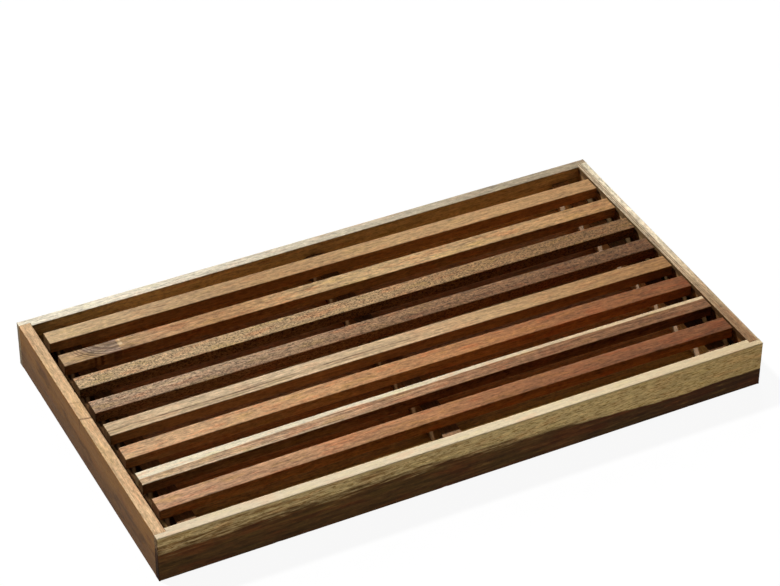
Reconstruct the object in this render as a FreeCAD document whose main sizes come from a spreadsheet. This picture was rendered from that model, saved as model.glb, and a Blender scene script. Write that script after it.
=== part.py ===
import FreeCAD, Part
import Sketcher
import math
import os
from FreeCAD import Placement, Rotation, Vector

# Bread board with a crumb catcher: an open tray of four boards and a floor
# panel, and a lift-out grid of eight slats on three cross battens.
# Millimetres, +X along the length, +Y to the back, +Z up.
# The origin is the centre of the tray's footprint, on the surface it stands on.

doc = FreeCAD.newDocument("crumb_board")

# ---------------------------------------------------------------------------
# Driving dimensions
# ---------------------------------------------------------------------------
DIMENSIONS = [
    # tray
    ("tray_length", 430.0),        # over the end boards, along X
    ("tray_width", 237.4),         # over the long boards, along Y
    ("tray_height", 34.4),
    ("board_thick", 8.0),
    ("lip_thick", 4.5),            # long board left standing past each end board
    ("edge_outer", 0.9),           # eased outer edges
    ("edge_inner", 0.5),           # eased inner top edges
    ("floor_level", 5.0),          # underside of the floor above the table
    ("floor_thick", 5.0),
    ("groove_deep", 3.5),
    ("floor_play", 0.4),           # floor edge to groove bottom
    # grid
    ("grid_x", 1.2),               # the grid lies a little to the right in the tray
    ("grid_play", 0.2),            # batten underside to floor
    ("slat_length", 409.4),
    ("slat_width", 13.0),
    ("slat_thick", 8.0),
    ("slat_edge", 0.7),
    ("batten_width", 13.1),
    ("batten_length", 219.0),
    ("batten_edge", 0.6),
    ("batten_left_x", -188.5),
    ("batten_middle_x", -3.8),
    ("batten_right_x", 191.15),
    ("batten_left_drift", 0.0),    # X at the back end less X at the front end
    ("batten_middle_drift", 4.05),
    ("batten_right_drift", 0.0),
    # slats: mid-length centre in Y, drift in Y from left end to right end,
    # and bow of the middle away from the line between the ends
    ("slat_1_y", 91.39), ("slat_1_drift", -4.58), ("slat_1_bow", 0.0),
    ("slat_2_y", 65.15), ("slat_2_drift", -4.50), ("slat_2_bow", 0.0),
    ("slat_3_y", 38.88), ("slat_3_drift", -4.10), ("slat_3_bow", 0.0),
    ("slat_4_y", 12.22), ("slat_4_drift", -4.38), ("slat_4_bow", 0.0),
    ("slat_5_y", -10.48), ("slat_5_drift", -2.57), ("slat_5_bow", 1.26),
    ("slat_6_y", -34.96), ("slat_6_drift", -2.09), ("slat_6_bow", 2.03),
    ("slat_7_y", -61.38), ("slat_7_drift", -0.74), ("slat_7_bow", 1.66),
    ("slat_8_y", -87.66), ("slat_8_drift", -0.24), ("slat_8_bow", 1.73),
    # brads, driven up through the battens into the slats
    ("brad_shank_r", 0.8),
    ("brad_hole_r", 0.9),
    ("brad_head_r", 1.4),
    ("brad_head_thick", 1.0),
    ("brad_sink_r", 1.6),
    ("brad_sink_deep", 1.5),
    ("brad_bite", 4.1),            # depth of the point in the slat
    ("brad_bite_hole", 4.4),
    ("brad_point", 1.6),
]

dims = doc.addObject("Spreadsheet::Sheet", "dims")
for row, (alias, value) in enumerate(DIMENSIONS, start=1):
    dims.set("A%d" % row, alias)
    dims.set("B%d" % row, "%g" % value)
    dims.setAlias("B%d" % row, alias)
doc.recompute()


def dim(alias):
    return float(getattr(dims, alias))


BATTEN_HEIGHT = ("(dims.tray_height - dims.slat_thick - dims.floor_level"
                 " - dims.floor_thick - dims.grid_play)")
BATTEN_BOTTOM = "(dims.floor_level + dims.floor_thick + dims.grid_play)"
SLAT_BOTTOM = "(dims.tray_height - dims.slat_thick)"


def number(expression):
    """Value of an expression over the sheet, for the starting geometry."""
    return float(dims.evalExpression(expression.replace("dims.", "")))


# ---------------------------------------------------------------------------
# Sketch and feature helpers
# ---------------------------------------------------------------------------
def new_body(name):
    body = doc.addObject("PartDesign::Body", name)
    body.Label = name
    return body


def new_sketch(body, name, role="XY_Plane"):
    sketch = body.newObject("Sketcher::SketchObject", name)
    for feature in body.Origin.OriginFeatures:
        if feature.Role == role:
            sketch.AttachmentSupport = [(feature, "")]
    sketch.MapMode = "FlatFace"
    doc.recompute()
    return sketch


def pin(sketch, kind, args, value, name, expression):
    """Add a driving constraint, name it and bind it to the sheet."""
    index = sketch.addConstraint(Sketcher.Constraint(kind, *args, value))
    sketch.renameConstraint(index, name)
    sketch.setExpression("Constraints." + name, expression)


def polygon(sketch, points):
    """Closed outline of straight lines through the points."""
    lines = []
    for a, b in zip(points, points[1:] + points[:1]):
        lines.append(sketch.addGeometry(
            Part.LineSegment(Vector(a[0], a[1], 0), Vector(b[0], b[1], 0)), False))
    for a, b in zip(lines, lines[1:] + lines[:1]):
        sketch.addConstraint(Sketcher.Constraint("Coincident", a, 2, b, 1))
    return lines


def rectangle(sketch, wide, deep):
    """Rectangle centred on the sketch origin, wide along X and deep along Y."""
    w, d = number(wide) / 2.0, number(deep) / 2.0
    south, east, north, west = polygon(sketch, [(-w, -d), (w, -d), (w, d), (-w, d)])
    for line in (south, north):
        sketch.addConstraint(Sketcher.Constraint("Horizontal", line))
    for line in (east, west):
        sketch.addConstraint(Sketcher.Constraint("Vertical", line))
    pin(sketch, "DistanceX", (south, 1, south, 2), 2 * w, "wide", wide)
    pin(sketch, "DistanceY", (east, 1, east, 2), 2 * d, "deep", deep)
    pin(sketch, "DistanceX", (south, 1, -1, 1), w, "half_wide", "(%s) / 2" % wide)
    pin(sketch, "DistanceY", (south, 1, -1, 1), d, "half_deep", "(%s) / 2" % deep)


def pad(body, sketch, length):
    feature = body.newObject("PartDesign::Pad", body.Name + "_pad_" + sketch.Name)
    feature.Profile = sketch
    feature.setExpression("Length", length)
    doc.recompute()
    return feature


def pocket(body, sketch, base, length, expected, symmetric=False, reverse=True):
    """Cut the sketch into the body, and make sure that it took the volume."""
    feature = body.newObject("PartDesign::Pocket", body.Name + "_cut_" + sketch.Name)
    feature.Profile = sketch
    feature.setExpression("Length", length)
    if symmetric:
        feature.Midplane = True
    else:
        feature.Reversed = reverse
    doc.recompute()
    taken = base.Shape.Volume - feature.Shape.Volume
    if abs(taken - expected) > 0.02 * expected:
        raise RuntimeError("%s: cut %.3f, expected %.3f" % (feature.Name, taken, expected))
    return feature


def ease(body, base, radius, wanted, tag):
    """Round the edges of base whose middle point and direction are wanted."""
    names = []
    for index, edge in enumerate(base.Shape.Edges, start=1):
        middle = edge.valueAt((edge.FirstParameter + edge.LastParameter) / 2.0)
        if wanted(edge, middle):
            names.append("Edge%d" % index)
    feature = body.newObject("PartDesign::Fillet", body.Name + "_" + tag)
    feature.Base = (base, names)
    feature.setExpression("Radius", radius)
    doc.recompute()
    return feature


def near(a, b):
    return abs(a - b) < 1e-4


# ---------------------------------------------------------------------------
# Long boards: rabbeted at both ends, grooved for the floor
# ---------------------------------------------------------------------------
def long_board(name):
    """Outer face at -Y, inner face at +Y, standing on Z = 0."""
    body = new_body(name)
    length, thick, lip = dim("tray_length"), dim("board_thick"), dim("lip_thick")
    x, x_in = length / 2.0, length / 2.0 - thick
    y, y_lip = -thick / 2.0, -thick / 2.0 + lip
    outline = new_sketch(body, name + "_outline")
    p = [(-x, y), (x, y), (x, y_lip), (x_in, y_lip),
         (x_in, -y), (-x_in, -y), (-x_in, y_lip), (-x, y_lip)]
    g = polygon(outline, p)
    C = Sketcher.Constraint
    outline.addConstraint(C("Symmetric", g[0], 1, g[0], 2, -2))
    for line in (g[2], g[4], g[6]):
        outline.addConstraint(C("Horizontal", line))
    for line in (g[1], g[3], g[5], g[7]):
        outline.addConstraint(C("Vertical", line))
    pin(outline, "DistanceX", (g[0], 1, g[0], 2), length, "length", "dims.tray_length")
    pin(outline, "DistanceY", (g[0], 1, -1, 1), thick / 2.0, "half", "dims.board_thick / 2")
    pin(outline, "DistanceY", (g[1], 1, g[1], 2), lip, "lip_right", "dims.lip_thick")
    pin(outline, "DistanceY", (g[7], 2, g[7], 1), lip, "lip_left", "dims.lip_thick")
    pin(outline, "DistanceX", (g[2], 2, g[2], 1), thick, "rabbet_right", "dims.board_thick")
    pin(outline, "DistanceX", (g[6], 2, g[6], 1), thick, "rabbet_left", "dims.board_thick")
    pin(outline, "DistanceY", (g[0], 1, g[4], 1), thick, "thick", "dims.board_thick")
    solid = pad(body, outline, "dims.tray_height")
    # groove for the floor, along the inner face
    groove = new_sketch(body, name + "_groove", "YZ_Plane")
    y0, y1 = thick / 2.0 - dim("groove_deep"), thick / 2.0 + 1.0
    z0, z1 = dim("floor_level"), dim("floor_level") + dim("floor_thick")
    q = polygon(groove, [(y0, z0), (y1, z0), (y1, z1), (y0, z1)])
    for line in (q[0], q[2]):
        groove.addConstraint(C("Horizontal", line))
    for line in (q[1], q[3]):
        groove.addConstraint(C("Vertical", line))
    pin(groove, "DistanceX", (-1, 1, q[0], 1), y0, "bottom",
        "dims.board_thick / 2 - dims.groove_deep")
    pin(groove, "DistanceX", (q[0], 1, q[0], 2), y1 - y0, "deep", "dims.groove_deep + 1")
    pin(groove, "DistanceY", (-1, 1, q[0], 1), z0, "level", "dims.floor_level")
    pin(groove, "DistanceY", (q[1], 1, q[1], 2), z1 - z0, "high", "dims.floor_thick")
    cut = pocket(body, groove, solid, "dims.tray_length + 10",
                 dim("groove_deep") * dim("floor_thick") * 2 * x_in, symmetric=True)
    high = dim("tray_height")

    def outer(edge, m):
        on_face = near(m.y, y)
        on_end = near(abs(m.x), x) and m.y < y_lip - 1e-3
        return (on_face or on_end) and (near(m.z, 0) or near(m.z, high) or near(abs(m.x), x))

    eased = ease(body, cut, "dims.edge_outer", outer, "eased_outside")
    ease(body, eased, "dims.edge_inner",
         lambda e, m: near(m.y, -y) and near(m.z, high), "eased_inside")
    return body


front_board = long_board("front_board")
front_board.setExpression("Placement.Base.y", "-(dims.tray_width - dims.board_thick) / 2")

back_board = long_board("back_board")
back_board.Placement = Placement(Vector(0, 0, 0), Rotation(Vector(0, 0, 1), 180))
back_board.setExpression("Placement.Base.y", "(dims.tray_width - dims.board_thick) / 2")


# ---------------------------------------------------------------------------
# End boards: plain boards let into the rabbets, grooved for the floor
# ---------------------------------------------------------------------------
def end_board(name):
    """Outer face at -X, inner face at +X, standing on Z = 0."""
    body = new_body(name)
    thick = dim("board_thick")
    run = "dims.tray_width - 2 * dims.lip_thick"
    outline = new_sketch(body, name + "_outline")
    rectangle(outline, "dims.board_thick", run)
    solid = pad(body, outline, "dims.tray_height")
    groove = new_sketch(body, name + "_groove", "XZ_Plane")
    x0, x1 = thick / 2.0 - dim("groove_deep"), thick / 2.0 + 1.0
    z0, z1 = dim("floor_level"), dim("floor_level") + dim("floor_thick")
    q = polygon(groove, [(x0, z0), (x1, z0), (x1, z1), (x0, z1)])
    C = Sketcher.Constraint
    for line in (q[0], q[2]):
        groove.addConstraint(C("Horizontal", line))
    for line in (q[1], q[3]):
        groove.addConstraint(C("Vertical", line))
    pin(groove, "DistanceX", (-1, 1, q[0], 1), x0, "bottom",
        "dims.board_thick / 2 - dims.groove_deep")
    pin(groove, "DistanceX", (q[0], 1, q[0], 2), x1 - x0, "deep", "dims.groove_deep + 1")
    pin(groove, "DistanceY", (-1, 1, q[0], 1), z0, "level", "dims.floor_level")
    pin(groove, "DistanceY", (q[1], 1, q[1], 2), z1 - z0, "high", "dims.floor_thick")
    cut = pocket(body, groove, solid, "dims.tray_width + 10",
                 dim("groove_deep") * dim("floor_thick") * number(run), symmetric=True)
    high = dim("tray_height")
    eased = ease(body, cut, "dims.edge_outer",
                 lambda e, m: near(m.x, -thick / 2.0) and (near(m.z, 0) or near(m.z, high)),
                 "eased_outside")
    ease(body, eased, "dims.edge_inner",
         lambda e, m: near(m.x, thick / 2.0) and near(m.z, high), "eased_inside")
    return body


left_end_board = end_board("left_end_board")
left_end_board.setExpression("Placement.Base.x", "-(dims.tray_length - dims.board_thick) / 2")

right_end_board = end_board("right_end_board")
right_end_board.Placement = Placement(Vector(0, 0, 0), Rotation(Vector(0, 0, 1), 180))
right_end_board.setExpression("Placement.Base.x", "(dims.tray_length - dims.board_thick) / 2")


# ---------------------------------------------------------------------------
# Floor panel: floats in the grooves of the four boards
# ---------------------------------------------------------------------------
tray_floor = new_body("tray_floor")
floor_outline = new_sketch(tray_floor, "tray_floor_outline")
rectangle(floor_outline,
          "dims.tray_length - 2 * dims.board_thick + 2 * (dims.groove_deep - dims.floor_play)",
          "dims.tray_width - 2 * dims.board_thick + 2 * (dims.groove_deep - dims.floor_play)")
pad(tray_floor, floor_outline, "dims.floor_thick")
tray_floor.setExpression("Placement.Base.z", "dims.floor_level")


# ---------------------------------------------------------------------------
# Where the slats cross the battens
# ---------------------------------------------------------------------------
SLATS = range(1, 9)
BATTENS = ("left", "middle", "right")


def crossing_x(side, slat):
    """X of the crossing, with the batten's drift taken at the slat's centre."""
    return ("(dims.batten_{0}_x + dims.batten_{0}_drift * dims.slat_{1}_y"
            " / dims.batten_length)").format(side, slat)


def crossing_y(side, slat):
    """Y of the slat's centre line above the batten."""
    u = "(%s - dims.grid_x)" % crossing_x(side, slat)
    return ("(dims.slat_{0}_y + dims.slat_{0}_drift * {1} / dims.slat_length"
            " - dims.slat_{0}_bow * (2 * {1} / dims.slat_length)^2)").format(slat, u)


# ---------------------------------------------------------------------------
# Slats: 13 x 8 mm, straight or with a slight bow, blind holes from below
# ---------------------------------------------------------------------------
def slat(index):
    name = "slat_%d" % index
    body = new_body(name)
    length, width, bow = dim("slat_length"), dim("slat_width"), dim(name + "_bow")
    outline = new_sketch(body, name + "_outline")
    C = Sketcher.Constraint
    if bow == 0.0:
        rectangle(outline, "dims.slat_length", "dims.slat_width")
    else:
        h, w = length / 2.0, width / 2.0

        def arc(offset):
            return Part.Arc(Vector(-h, offset - bow, 0), Vector(0, offset, 0),
                            Vector(h, offset - bow, 0))

        south = outline.addGeometry(arc(-w), False)
        east = outline.addGeometry(
            Part.LineSegment(Vector(h, -w - bow, 0), Vector(h, w - bow, 0)), False)
        north = outline.addGeometry(arc(w), False)
        west = outline.addGeometry(
            Part.LineSegment(Vector(-h, w - bow, 0), Vector(-h, -w - bow, 0)), False)

        def ends(curve):
            first, second = outline.getPoint(curve, 1), outline.getPoint(curve, 2)
            return (1, 2) if first.x < second.x else (2, 1)

        south_left, south_right = ends(south)
        north_left, north_right = ends(north)
        outline.addConstraint(C("Coincident", south, south_right, east, 1))
        outline.addConstraint(C("Coincident", east, 2, north, north_right))
        outline.addConstraint(C("Coincident", north, north_left, west, 1))
        outline.addConstraint(C("Coincident", west, 2, south, south_left))
        outline.addConstraint(C("Vertical", east))
        outline.addConstraint(C("Vertical", west))
        outline.addConstraint(C("Symmetric", west, 2, east, 1, -2))
        outline.addConstraint(C("Equal", east, west))
        outline.addConstraint(C("Equal", south, north))
        pin(outline, "DistanceX", (west, 2, east, 1), length, "length", "dims.slat_length")
        pin(outline, "DistanceY", (west, 2, west, 1), width, "width", "dims.slat_width")
        pin(outline, "Radius", (south,), length ** 2 / (8 * bow) + bow / 2, "sweep",
            "dims.slat_length^2 / (8 * dims.{0}_bow) + dims.{0}_bow / 2".format(name))
        pin(outline, "DistanceY", (west, 2, -1, 1), w + bow, "drop",
            "dims.slat_width / 2 + dims.%s_bow" % name)
    solid = pad(body, outline, "dims.slat_thick")
    eased = ease(body, solid, "dims.slat_edge", lambda e, m: True, "eased")
    holes = new_sketch(body, name + "_holes")
    for side in BATTENS:
        x = "%s - dims.grid_x" % crossing_x(side, index)
        y = "-dims.{0}_bow * (2 * ({1}) / dims.slat_length)^2".format(name, x)
        circle = holes.addGeometry(
            Part.Circle(Vector(number(x), number(y), 0), Vector(0, 0, 1), dim("brad_hole_r")),
            False)
        pin(holes, "DistanceX", (-1, 1, circle, 3), number(x), side + "_x", x)
        pin(holes, "DistanceY", (-1, 1, circle, 3), number(y), side + "_y", y)
        pin(holes, "Radius", (circle,), dim("brad_hole_r"), side + "_r", "dims.brad_hole_r")
    pocket(body, holes, eased, "dims.brad_bite_hole",
           3 * math.pi * dim("brad_hole_r") ** 2 * dim("brad_bite_hole"))
    body.setExpression("Placement.Rotation.Angle",
                       "atan(dims.%s_drift / dims.slat_length)" % name)
    body.setExpression("Placement.Base.x", "dims.grid_x")
    body.setExpression("Placement.Base.y", "dims.%s_y" % name)
    body.setExpression("Placement.Base.z", SLAT_BOTTOM)
    doc.recompute()
    return body


slats = [slat(index) for index in SLATS]


# ---------------------------------------------------------------------------
# Battens: stand on the floor, drilled and sunk from below for the brads
# ---------------------------------------------------------------------------
def batten(side):
    name = "batten_" + side
    body = new_body(name)
    outline = new_sketch(body, name + "_outline")
    rectangle(outline, "dims.batten_width", "dims.batten_length")
    solid = pad(body, outline, BATTEN_HEIGHT)
    eased = ease(body, solid, "dims.batten_edge", lambda e, m: True, "eased")
    last = eased
    for tag, radius, deep in (("holes", "brad_hole_r", BATTEN_HEIGHT),
                              ("sinks", "brad_sink_r", "dims.brad_sink_deep")):
        sketch = new_sketch(body, name + "_" + tag)
        for index in SLATS:
            y = crossing_y(side, index)
            circle = sketch.addGeometry(
                Part.Circle(Vector(0, number(y), 0), Vector(0, 0, 1), dim(radius)), False)
            sketch.addConstraint(Sketcher.Constraint("PointOnObject", circle, 3, -2))
            pin(sketch, "DistanceY", (-1, 1, circle, 3), number(y), "at_%d" % index, y)
            pin(sketch, "Radius", (circle,), dim(radius), "r_%d" % index, "dims." + radius)
        if tag == "holes":
            expected = 8 * math.pi * dim(radius) ** 2 * number(deep)
        else:
            expected = 8 * math.pi * (dim(radius) ** 2 - dim("brad_hole_r") ** 2) * number(deep)
        last = pocket(body, sketch, last, deep, expected)
    body.setExpression("Placement.Rotation.Angle",
                       "-atan(dims.{0}_drift / dims.batten_length)".format(name))
    body.setExpression("Placement.Base.x", "dims.%s_x" % name)
    body.setExpression("Placement.Base.z", BATTEN_BOTTOM)
    doc.recompute()
    return body


battens = [batten(side) for side in BATTENS]


# ---------------------------------------------------------------------------
# Brads: flat head, straight shank, short point; eight to a batten
# ---------------------------------------------------------------------------
SHANK = ("(%s - dims.brad_sink_deep + dims.brad_bite - dims.brad_point)" % BATTEN_HEIGHT)


def brad(side, index):
    name = "brad_%s_%d" % (side, index)
    head = doc.addObject("Part::Cylinder", name + "_head")
    head.setExpression("Radius", "dims.brad_head_r")
    head.setExpression("Height", "dims.brad_head_thick")
    shank = doc.addObject("Part::Cylinder", name + "_shank")
    shank.setExpression("Radius", "dims.brad_shank_r")
    shank.setExpression("Height", SHANK)
    shank.setExpression("Placement.Base.z", "dims.brad_head_thick")
    point = doc.addObject("Part::Cone", name + "_point")
    point.setExpression("Radius1", "dims.brad_shank_r")
    point.setExpression("Radius2", "dims.brad_shank_r / 4")
    point.setExpression("Height", "dims.brad_point")
    point.setExpression("Placement.Base.z", "dims.brad_head_thick + " + SHANK)
    whole = doc.addObject("Part::MultiFuse", name)
    whole.Shapes = [head, shank, point]
    whole.setExpression("Placement.Base.x", crossing_x(side, index))
    whole.setExpression("Placement.Base.y", crossing_y(side, index))
    whole.setExpression("Placement.Base.z",
                        BATTEN_BOTTOM + " + dims.brad_sink_deep - dims.brad_head_thick")
    return whole


brad_groups = []
for side in BATTENS:
    members = [brad(side, index) for index in SLATS]
    group = doc.addObject("Part::Compound", "brads_" + side)
    group.Label = "brads_" + side
    group.Links = members
    brad_groups.append(group)

doc.recompute()

# ---------------------------------------------------------------------------
# Checks, then one STEP file per piece
# ---------------------------------------------------------------------------
pieces = ([front_board, back_board, left_end_board, right_end_board, tray_floor]
          + slats + battens + brad_groups)

bad = []
for item in doc.Objects:
    state = list(item.State)
    if "Invalid" in state or "Error" in state:
        bad.append("%s: %s" % (item.Name, state))
    if item.TypeId == "Sketcher::SketchObject" and not item.FullyConstrained:
        bad.append("%s: not fully constrained" % item.Name)
for piece in pieces:
    shape = piece.Shape
    if shape.isNull() or not shape.isValid():
        bad.append("%s: shape null or not valid" % piece.Label)
    wanted = 8 if piece in brad_groups else 1
    if len(shape.Solids) != wanted:
        bad.append("%s: %d solids, wanted %d" % (piece.Label, len(shape.Solids), wanted))
if bad:
    raise RuntimeError("; ".join(bad))

os.makedirs("parts", exist_ok=True)
for piece in pieces:
    piece.Shape.exportStep(os.path.join("parts", piece.Label + ".step"))
    box = piece.Shape.BoundBox
    print("%-16s %9.1f mm3  x %8.2f %8.2f  y %8.2f %8.2f  z %6.2f %6.2f" % (
        piece.Label, piece.Shape.Volume, box.XMin, box.XMax, box.YMin, box.YMax,
        box.ZMin, box.ZMax))
print("%d pieces written" % len(pieces))
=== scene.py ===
import math

import bpy
import numpy as np
from mathutils import Matrix, Vector


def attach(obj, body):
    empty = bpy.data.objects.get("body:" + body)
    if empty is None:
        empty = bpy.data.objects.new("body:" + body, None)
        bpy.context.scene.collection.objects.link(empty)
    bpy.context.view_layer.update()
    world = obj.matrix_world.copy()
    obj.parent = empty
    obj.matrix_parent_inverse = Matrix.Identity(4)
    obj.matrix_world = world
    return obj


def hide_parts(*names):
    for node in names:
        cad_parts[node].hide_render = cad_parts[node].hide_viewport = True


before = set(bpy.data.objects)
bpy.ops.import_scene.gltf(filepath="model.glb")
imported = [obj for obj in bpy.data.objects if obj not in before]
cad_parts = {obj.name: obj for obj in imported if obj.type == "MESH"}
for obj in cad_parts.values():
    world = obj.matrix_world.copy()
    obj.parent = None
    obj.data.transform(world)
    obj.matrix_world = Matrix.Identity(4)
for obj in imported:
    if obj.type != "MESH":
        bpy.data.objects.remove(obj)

SCENE = bpy.context.scene
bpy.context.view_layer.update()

# ---------------------------------------------------------------------------
# Sizes in millimetres, as in the construction
# ---------------------------------------------------------------------------
LENGTH, WIDTH, HEIGHT, STOCK, LIP = 430.0, 237.4, 34.4, 8.0, 4.5
FLOOR_Z, FLOOR_T, GROOVE = 5.0, 5.0, 3.5
GRID_X, SLAT_L, SLAT_W, SLAT_T = 1.2, 409.4, 13.0, 8.0
BATTEN_W, BATTEN_L, BATTEN_Z = 13.1, 219.0, 10.2
BATTEN_H = HEIGHT - SLAT_T - BATTEN_Z
# number, middle of the centre line in Y, drift over the length, bow
SLATS = [
    (1, 91.39, -4.58, 0.0), (2, 65.15, -4.50, 0.0), (3, 38.88, -4.10, 0.0),
    (4, 12.22, -4.38, 0.0), (5, -10.48, -2.57, 1.26), (6, -34.96, -2.09, 2.03),
    (7, -61.38, -0.74, 1.66), (8, -87.66, -0.24, 1.73),
]
# side, X of the middle, drift in X over the length
BATTENS = [("left", -188.5, 0.0), ("middle", -3.8, 4.05), ("right", 191.15, 0.0)]


# ---------------------------------------------------------------------------
# Smooth lattice noise for the shapes (deterministic)
# ---------------------------------------------------------------------------
def lattice(ix, iy, iz, seed):
    h = (ix * 374761393 + iy * 668265263 + iz * 2147483647 + seed * 1274126177) & 0xFFFFFFFF
    h = ((h ^ (h >> 13)) * 1274126177) & 0xFFFFFFFF
    h = ((h ^ (h >> 16)) * 2246822519) & 0xFFFFFFFF
    return ((h ^ (h >> 15)) & 0xFFFFFF) / float(0x7FFFFF) - 1.0


def lumps(points, scale, seed):
    """Value noise in -1..1 at the points, with a cell size per axis."""
    q = points / np.asarray(scale, float)
    base = np.floor(q).astype(np.int64)
    f = q - base
    f = f * f * (3 - 2 * f)
    total = np.zeros(len(q))
    for dx in (0, 1):
        for dy in (0, 1):
            for dz in (0, 1):
                weight = ((f[:, 0] if dx else 1 - f[:, 0]) * (f[:, 1] if dy else 1 - f[:, 1])
                          * (f[:, 2] if dz else 1 - f[:, 2]))
                total += weight * lattice(base[:, 0] + dx, base[:, 1] + dy,
                                          base[:, 2] + dz, seed)
    return total


# ---------------------------------------------------------------------------
# Boards as fine quad grids with rounded edges
# ---------------------------------------------------------------------------
def samples(half, radius, step):
    """Grid lines along one axis: even spacing inside, an arc at each end."""
    inner = half - radius
    count = max(1, int(round(2 * (inner - 0.12) / step)))
    middle = list(np.linspace(-(inner - 0.12), inner - 0.12, count + 1))
    arc = [radius * math.tan(math.radians(a)) for a in (0, 11, 22, 33.5, 45)]
    return np.array([-(inner + a) for a in reversed(arc)] + middle
                    + [inner + a for a in arc])


def block(half, radius, step, edge=None):
    """Closed rounded block, vertices and quads. edge(axes, signs) gives the
    radius of one edge where it differs from the largest one."""
    grids = [samples(h, radius, s) for h, s in zip(half, step)]
    n = [len(g) for g in grids]
    surface = np.zeros(n, bool)
    surface[[0, -1]] = surface[:, [0, -1]] = True
    surface[:, :, [0, -1]] = True
    index = -np.ones(n, np.int64)
    index[surface] = np.arange(surface.sum())
    i, j, k = np.nonzero(surface)
    p = np.stack([grids[0][i], grids[1][j], grids[2][k]], 1)
    h = np.asarray(half, float)
    r = np.full(len(p), radius)
    if edge is not None:
        active = np.abs(p) > h - radius - 1e-6
        for a, b in ((0, 1), (0, 2), (1, 2)):
            for sa in (-1, 1):
                for sb in (-1, 1):
                    on = active[:, a] & active[:, b] & (p[:, a] * sa > 0) & (p[:, b] * sb > 0)
                    r[on] = np.minimum(r[on], edge((a, b), (sa, sb)))
    core = np.clip(p, -(h - r[:, None]), h - r[:, None])
    d = p - core
    size = np.linalg.norm(d, axis=1, keepdims=True)
    p = core + d / np.maximum(size, 1e-9) * r[:, None]
    quads = []

    def add(sheet, flip):
        a, b, c, e = sheet[:-1, :-1], sheet[1:, :-1], sheet[1:, 1:], sheet[:-1, 1:]
        q = np.stack([a, b, c, e], -1).reshape(-1, 4)
        quads.append(q[:, ::-1] if flip else q)

    add(index[:, :, -1], False)
    add(index[:, :, 0], True)
    add(index[:, 0, :], False)
    add(index[:, -1, :], True)
    add(index[-1, :, :], False)
    add(index[0, :, :], True)
    return p, np.concatenate(quads)


def mesh_of(name, points, faces):
    mesh = bpy.data.meshes.new(name)
    mesh.from_pydata([tuple(x) for x in points], [], [tuple(int(y) for y in x) for x in faces])
    mesh.update()
    return mesh


def points_of(mesh):
    co = np.empty(len(mesh.vertices) * 3)
    mesh.vertices.foreach_get("co", co)
    return co.reshape(-1, 3)


def carve(mesh, cutters):
    """Take closed boxes or rods, each (points, faces), out of the mesh."""
    work = bpy.data.objects.new("carve", mesh)
    SCENE.collection.objects.link(work)
    tools = []
    for c, (points, faces) in enumerate(cutters):
        tool = bpy.data.objects.new("tool", mesh_of("tool", points, faces))
        SCENE.collection.objects.link(tool)
        tools.append(tool)
        cut = work.modifiers.new("cut%d" % c, "BOOLEAN")
        cut.operation, cut.solver, cut.object = "DIFFERENCE", "EXACT", tool
    bpy.context.view_layer.update()
    deps = bpy.context.evaluated_depsgraph_get()
    made = bpy.data.meshes.new_from_object(work.evaluated_get(deps))
    for item in [work] + tools:
        data = item.data
        bpy.data.objects.remove(item)
        bpy.data.meshes.remove(data)
    return made


def box_tool(low, high):
    x0, y0, z0 = low
    x1, y1, z1 = high
    p = [(x0, y0, z0), (x1, y0, z0), (x1, y1, z0), (x0, y1, z0),
         (x0, y0, z1), (x1, y0, z1), (x1, y1, z1), (x0, y1, z1)]
    f = [(3, 2, 1, 0), (4, 5, 6, 7), (0, 1, 5, 4), (1, 2, 6, 5), (2, 3, 7, 6), (3, 0, 4, 7)]
    return p, f


def rod_tool(centre, radius, low, high, sides=20):
    p, f = [], []
    for z in (low, high):
        for s in range(sides):
            a = 2 * math.pi * s / sides
            p.append((centre[0] + radius * math.cos(a), centre[1] + radius * math.sin(a), z))
    f.append(tuple(range(sides - 1, -1, -1)))
    f.append(tuple(range(sides, 2 * sides)))
    for s in range(sides):
        e = (s + 1) % sides
        f.append((s, e, sides + e, sides + s))
    return p, f


def normals_of(mesh):
    n = np.empty(len(mesh.vertices) * 3, np.float32)
    mesh.vertex_normals.foreach_get("vector", n)
    return n.reshape(-1, 3).astype(float)


def weather(mesh, half, seed, ripple=0.03, dents=14):
    """Planing ripple, softened corners and small knocks along the edges."""
    p = points_of(mesh)
    n = normals_of(mesh)
    h = np.asarray(half, float)
    move = ripple * lumps(p, (38, 7, 7), seed) + 0.5 * ripple * lumps(p, (9, 2.2, 2.2), seed + 1)
    ends = np.clip((np.abs(p[:, 0]) - (h[0] - 1.0)) / 0.6, 0, 1)
    move += ends * 0.035 * lumps(p, (0.8, 0.9, 0.9), seed + 2)
    p = p + n * (move - ripple * 1.4)[:, None]
    rng = np.random.default_rng(seed)
    for _ in range(dents):
        u = rng.uniform(-h[0] + 4, h[0] - 4)
        sv, sw = rng.choice([-1, 1], 2)
        centre = np.array([u, sv * h[1], sw * h[2]])
        reach = np.array([rng.uniform(1.2, 4.0), rng.uniform(0.7, 1.3), rng.uniform(0.7, 1.3)])
        depth = rng.uniform(0.08, 0.28)
        t = np.clip(1 - (((p - centre) / reach) ** 2).sum(1), 0, 1)
        inward = -np.array([0, sv, sw]) / math.sqrt(2)
        p = p + (t * t * depth)[:, None] * inward
    p = np.clip(p, 0.006 - h, h - 0.006)
    mesh.vertices.foreach_set("co", p.ravel())
    mesh.update()


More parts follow.
